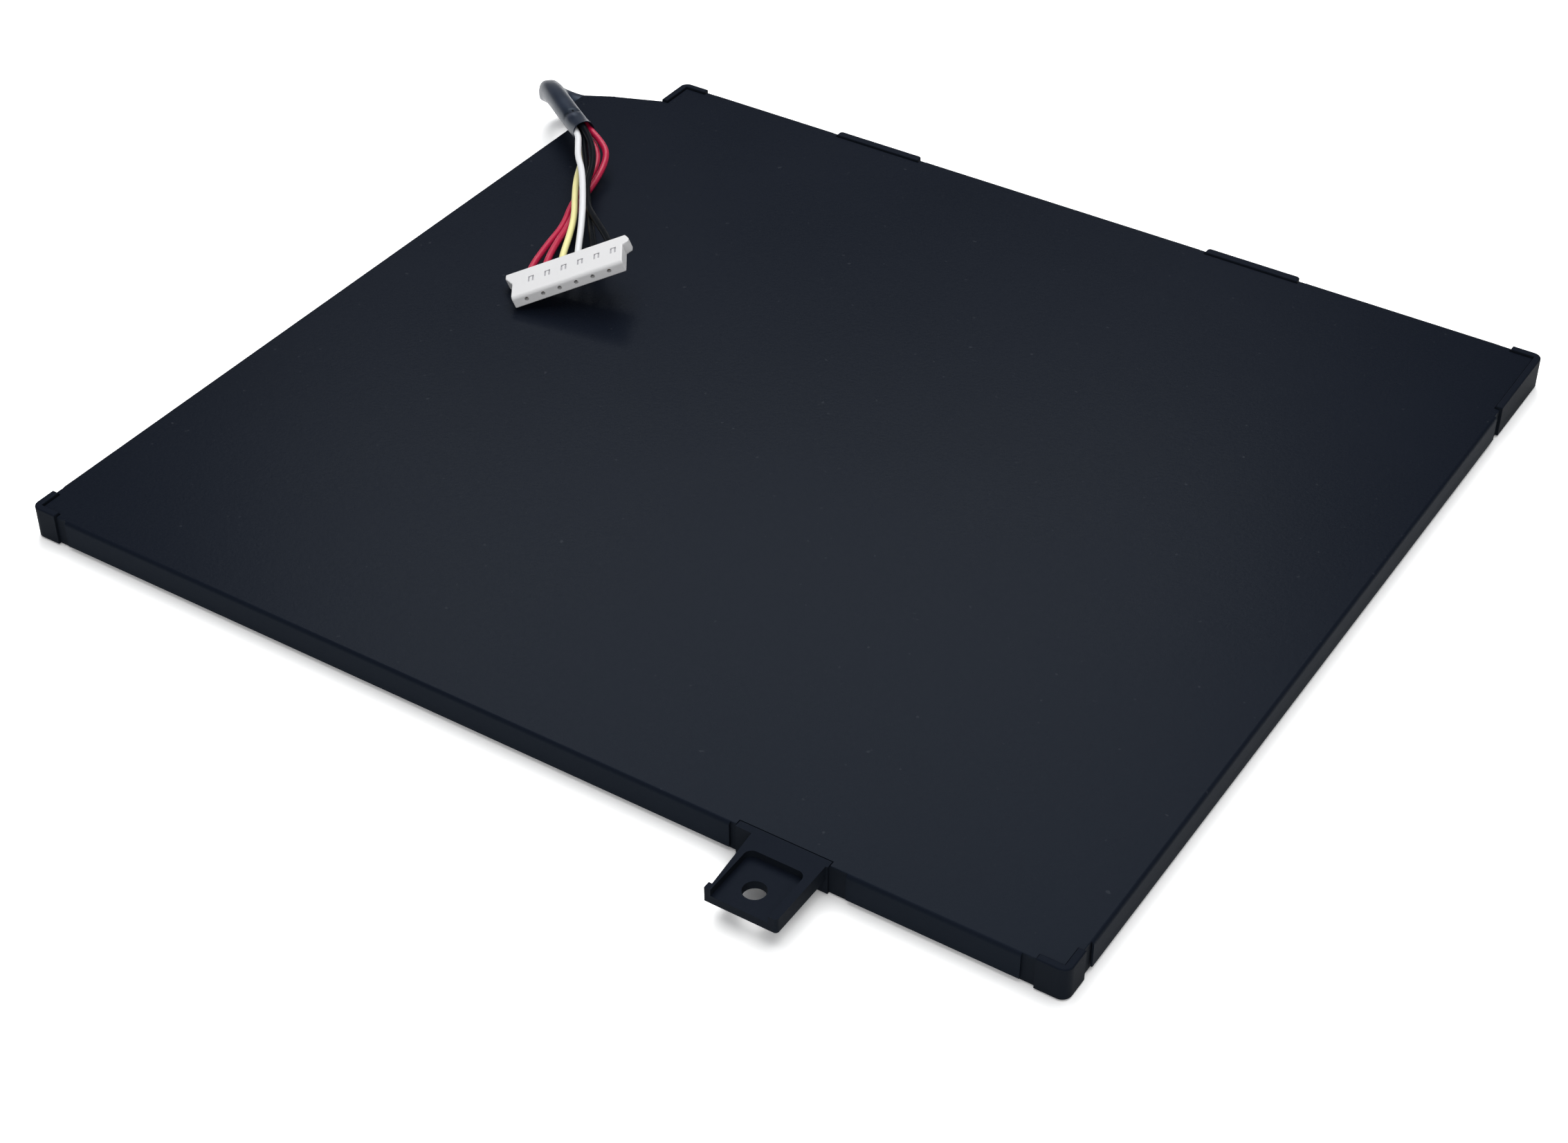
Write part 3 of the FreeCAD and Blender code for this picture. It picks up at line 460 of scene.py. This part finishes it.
# Each finish: its maker, then the dark and light tones, the roughness, and the grain's scale or the shine
FINISH_MAKERS = {
    "frame_plastic": (frame_finish,),
    "wrap_film": (film_finish,),
    "pouch_foil": (metal_finish, (0.55, 0.56, 0.58), (0.66, 0.67, 0.69), 0.38, 300.0),
    "adhesive_tape": (moulded_finish, (0.68, 0.67, 0.62), (0.76, 0.75, 0.71), 0.5, 2500.0),
    "board_laminate": (board_finish,),
    "amber_tape": (moulded_finish, (0.48, 0.22, 0.035), (0.58, 0.29, 0.055), 0.24, 1500.0),
    "chip_body": (moulded_finish, (0.016, 0.016, 0.018), (0.026, 0.026, 0.028), 0.55, 9000.0),
    "ceramic_chip": (moulded_finish, (0.38, 0.28, 0.19), (0.48, 0.37, 0.27), 0.5, 9000.0),
    "nickel": (metal_finish, (0.55, 0.53, 0.48), (0.66, 0.64, 0.59), 0.34, 900.0),
    "solder": (metal_finish, (0.58, 0.59, 0.60), (0.70, 0.71, 0.72), 0.26, 2200.0),
    "contact_brass": (metal_finish, (0.62, 0.50, 0.28), (0.75, 0.64, 0.40), 0.28, 1800.0),
    "sleeve_tube": (sleeve_finish,),
    "white_nylon": (nylon_finish,),
    "red_insulation": (insulation_finish, (0.41, 0.004, 0.040), (0.50, 0.006, 0.058), 0.40),
    "yellow_insulation": (insulation_finish, (0.81, 0.76, 0.33), (0.87, 0.82, 0.40), 0.42),
    "white_insulation": (insulation_finish, (0.72, 0.73, 0.75), (0.78, 0.79, 0.81), 0.42),
    "black_insulation": (insulation_finish, (0.0028, 0.0038, 0.0056), (0.0044, 0.0058, 0.0080), 0.42, 0.03),
}
FINISHES = {name: maker(name, *settings) for name, (maker, *settings) in FINISH_MAKERS.items()}


# Lead: routes

def turned(vector, start, end):
    """The vector turned as start turns onto end, about the line square to both."""
    axis = np.cross(start, end)
    sine = np.linalg.norm(axis)
    axis = axis / sine
    cosine = start @ end
    return vector * cosine + np.cross(axis, vector) * sine + axis * (axis @ vector) * (1 - cosine)


def bundle_route(route, side, rise):
    """The route moved sideways and up at its last run and carried back along it without a twist. The
    moved runs meet at the new corners."""
    runs = unit(np.diff(route, axis=0))
    across = unit(np.cross(UP, runs[-1]))
    offsets = [across * side + np.cross(runs[-1], across) * rise]
    for later, earlier in zip(runs[:0:-1], runs[-2::-1]):
        offsets.insert(0, turned(offsets[0], later, earlier))
    offsets = np.array(offsets)
    gap = np.diff(offsets, axis=0)
    before, after = runs[:-1], runs[1:]
    shared = np.sum(before * after, axis=1)
    reach = (np.sum(gap * before, axis=1) - np.sum(gap * after, axis=1) * shared) / (1 - shared ** 2)
    corners = route[1:-1] + offsets[:-1] + before * reach[:, None]
    return np.vstack([route[0] + offsets[0], corners, route[-1] + offsets[-1]])


def wire_route(pole, row, angle, fan):
    """Board, bundle in the sleeve, loose run over the film, connector. The middle wire has no angle."""
    first_run = unit(SLEEVE_ROUTE[1] - SLEEVE_ROUTE[0])
    middle = OUTLET + np.vstack([SLEEVE_ROUTE[0] - first_run * BUNDLE_LEAD, SLEEVE_ROUTE[1:]])
    side, rise = 0.0, 0.0
    if angle is not None:
        side = WIRE_SPACING * np.cos(np.radians(angle))
        rise = WIRE_SPACING * np.sin(np.radians(angle))
    bundle = bundle_route(middle, side, rise)
    row_y = FIRST_ROW + row * ROW_PITCH
    joint, board_edge, halfway = WIRE_START
    start = [(joint, row_y, ROW_HEIGHT), (board_edge, row_y, ROW_HEIGHT),
             (halfway, (row_y + bundle[0, 1]) / 2, bundle[0, 2])]
    entry = (pole - (len(WIRES) - 1) / 2) * POLE_PITCH
    end = connector_middle() + np.array([(entry, back, 0.0) for back in WIRE_END]) @ connector_axes()
    return np.vstack([start, bundle, OUTLET + np.array(fan), end]) * MM


def nurbs_curve(name, route):
    """One open spline with the route's points as its control points."""
    curve = bpy.data.curves.new(name, "CURVE")
    curve.dimensions = "3D"
    curve.resolution_u = SPLINE_STEPS
    spline = curve.splines.new("NURBS")
    spline.points.add(len(route) - 1)
    spline.points.foreach_set("co", np.column_stack([route, np.ones(len(route))]).ravel())
    spline.use_endpoint_u = True
    spline.order_u = 3
    return curve


def spline_line(route):
    """Points along a route's spline, as a curve with no bevel gives them."""
    guide = bpy.data.objects.new("guide", nurbs_curve("guide", route))
    mesh = bpy.data.meshes.new_from_object(guide)
    line = np.empty(len(mesh.vertices) * 3)
    mesh.vertices.foreach_get("co", line)
    bpy.data.meshes.remove(mesh)
    curve = guide.data
    bpy.data.objects.remove(guide)
    bpy.data.curves.remove(curve)
    return line.reshape(-1, 3)


def follow(line, length, station):
    """The points of a line at these lengths along it."""
    return np.stack([np.interp(station, length, line[:, axis]) for axis in range(3)], axis=1)


# Meshes

def grid_mesh(name, points, around=False):
    """A mesh with one four-sided face for each cell of a grid of points. With around, the last column
    joins the first."""
    rows, columns = points.shape[:2]
    index = np.arange(rows * columns).reshape(rows, columns)
    beside = np.roll(index, -1, axis=1)
    cells = np.stack([index[:-1], beside[:-1], beside[1:], index[1:]], axis=-1)
    if not around:
        cells = cells[:, :-1]
    mesh = bpy.data.meshes.new(name)
    mesh.from_pydata(points.reshape(-1, 3).tolist(), [], cells.reshape(-1, 4).tolist())
    mesh.shade_smooth()
    return mesh


def make_sleeve():
    """A tube carried along its spline. The section is x = a |cos t| ^ n, y = b |sin t| ^ n, with signs kept,
    where n is near 1 on the straight and less at the fold, which makes corners there, and one upper corner
    leans in. Its top dips across a crease, swells on the ridge beside it and rises at the mouth. The skin
    turns in over the lip and runs back inside, and a last ring closes each end. The mesh holds how far each
    point lies in the crease and on the ridge."""
    route = OUTLET + SLEEVE_ROUTE
    route[-1] -= unit(SLEEVE_ROUTE[-1] - SLEEVE_ROUTE[-2]) * MOUTH_LEAD
    line = spline_line(route * MM)
    length = np.concatenate([[0.0], np.cumsum(np.linalg.norm(np.diff(line, axis=0), axis=1))])

    # Rings: out to the mouth, then back inside, with the first and last one drawn together
    outer = np.linspace(0.0, length[-1], OUTER_RINGS)
    inner = np.linspace(length[-1], length[-1] - TURN_IN * MM, INNER_RINGS)
    station = np.concatenate([outer[:1], outer, inner, inner[-1:]])
    outside = np.repeat([1.0, 0.0], [OUTER_RINGS + 1, INNER_RINGS + 1])[:, None]
    spread = np.ones((len(station), 1))
    spread[[0, -1]] = 0.0
    step = HEADING_STEP * MM
    heading = unit(follow(line, length, station + step) - follow(line, length, station - step))
    across = unit(np.cross(UP, heading))
    upward = np.cross(heading, across)

    # Section, in millimetres
    share = (station / length[-1])[:, None]
    fold = bell(share, *FOLD)
    mouth = fade(share, MOUTH_START, 1.0) ** 2
    angle = np.linspace(0.0, 2 * np.pi, SLEEVE_SIDES, endpoint=False)
    power = STRAIGHT_POWER - FOLD_POWER * fold
    x = signed_power(np.cos(angle), power)
    y = signed_power(np.sin(angle), power)
    upper = fade(y, 0.0, 1.0)
    crease = bell(share, *CREASE) * fade(x, *CREASE_FADE) * upper * outside
    ridge = bell(share, *RIDGE) * fade(x, *RIDGE_FADE) * upper * outside
    lean = FOLD_LEAN * fold * upper * fade(x, 0.0, -1.0)
    radius = SLEEVE_RADIUS - SLEEVE_WALL * (1 - outside)
    half_width = radius + MOUTH_WIDENING * mouth
    half_height = radius + MOUTH_LIFT * mouth - CREASE_DEPTH * crease + RIDGE_HEIGHT * ridge
    sideways = spread * (x * half_width + lean)
    rise = spread * y * half_height + MOUTH_LIFT * mouth
    section = across[:, None] * sideways[..., None] + upward[:, None] * rise[..., None]

    mesh = grid_mesh("sleeve", follow(line, length, station)[:, None] + section * MM, around=True)
    for name, amount in (("crease", crease), ("ridge", ridge)):
        mesh.attributes.new(name, "FLOAT", "POINT").data.foreach_set("value", amount.ravel())
    return bpy.data.objects.new("sleeve", mesh)


def make_wire(name, route):
    """A round wire along its route's spline."""
    curve = nurbs_curve(name, route)
    curve.bevel_depth = WIRE / 2 * MM
    curve.bevel_resolution = WIRE_ROUNDNESS
    curve.use_fill_caps = True
    return bpy.data.objects.new(name, curve)


# Lead: pieces

def show(piece, finish, *stands_for):
    """Puts a piece in the scene with its finish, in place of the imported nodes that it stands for."""
    bpy.context.scene.collection.objects.link(piece)
    piece.data.materials.append(FINISHES[finish])
    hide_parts(*stands_for)
    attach(piece, "root")
    return piece


sleeve = show(make_sleeve(), "sleeve_tube", "wire_sleeve")
for pole, (node, (row, angle, length, finish, fan)) in enumerate(WIRES.items()):
    wire = make_wire(node.replace("wire_", "lead_"), wire_route(pole, row, angle, fan))
    lead = show(wire, finish, node)
    carried = [nodes[f"terminal_{pole + 1}"]]
    if angle is None:
        carried += [sleeve, nodes["connector_housing"]]

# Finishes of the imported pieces
for part in frame["record"]["subparts"]:
    node = nodes[part["node"]]
    node.data.materials.clear()
    node.data.materials.append(FINISHES[part["material_slot"]])


# Stage

def make_floor():
    """A flat square of pale paper, whiter to the camera and in reflections than where it lights the part."""
    side = np.array([-FLOOR_HALF, FLOOR_HALF])
    corners = np.stack([*np.meshgrid(side, side), np.full((2, 2), -FLOOR_DROP)], axis=-1)
    floor = bpy.data.objects.new("floor", grid_mesh("floor", corners))
    bpy.context.scene.collection.objects.link(floor)
    material, paint = new_paint("floor_paper")
    camera, glossy, transmission = (
        paint.node("LightPath", {}, {}, f"Is {ray} Ray") for ray in ("Camera", "Glossy", "Transmission"))
    seen = paint.between(camera + glossy + transmission, 0.0, 1.0)
    surface = paint.node("BsdfDiffuse", {}, {"Color": FLOOR_TONE + seen * FLOOR_SEEN})
    paint.node("OutputMaterial", {}, {"Surface": surface})
    floor.data.materials.append(material)


def aim(piece, place, forward, upright):
    """Puts a lamp or camera at a place; its own -Z looks forward and its own X is square to upright."""
    right = unit(np.cross(forward, upright))
    matrix = np.eye(4)
    matrix[:3] = np.column_stack([right, np.cross(right, forward), -forward, place])
    piece.matrix_world = Matrix(matrix.tolist())


def add_lamp(name, place, target, size, power):
    """A soft lamp with a rectangular face that looks at its target."""
    lamp = bpy.data.lights.new(name, "AREA")
    lamp.shape = "RECTANGLE"
    lamp.size, lamp.size_y = size
    lamp.energy = power
    piece = bpy.data.objects.new(name, lamp)
    bpy.context.scene.collection.objects.link(piece)
    aim(piece, place, unit(np.array(target) - np.array(place)), LAMP_UPRIGHT)


def light_studio():
    """An even pale sky and the lamps."""
    world = bpy.data.worlds.new("studio")
    world.use_nodes = True
    paint = Paint(world.node_tree)
    sky = paint.node("Background", {}, {"Color": SKY, "Strength": SKY_STRENGTH})
    paint.node("OutputWorld", {}, {"Surface": sky})
    bpy.context.scene.world = world
    for name, settings in LAMPS.items():
        add_lamp(name, *settings)


def add_camera():
    """The camera at the photo's viewing angle."""
    data = bpy.data.cameras.new("photo_view")
    data.sensor_width = CAMERA_SENSOR
    data.sensor_fit = "HORIZONTAL"
    data.lens = CAMERA_LENS
    data.clip_start = CAMERA_NEAREST
    camera = bpy.data.objects.new("photo_view", data)
    bpy.context.scene.collection.objects.link(camera)
    aim(camera, CAMERA_PLACE, np.array(CAMERA_FORWARD), CAMERA_UPRIGHT)
    bpy.context.scene.camera = camera


make_floor()
light_studio()
add_camera()
bpy.context.scene.view_settings.view_transform = "Standard"
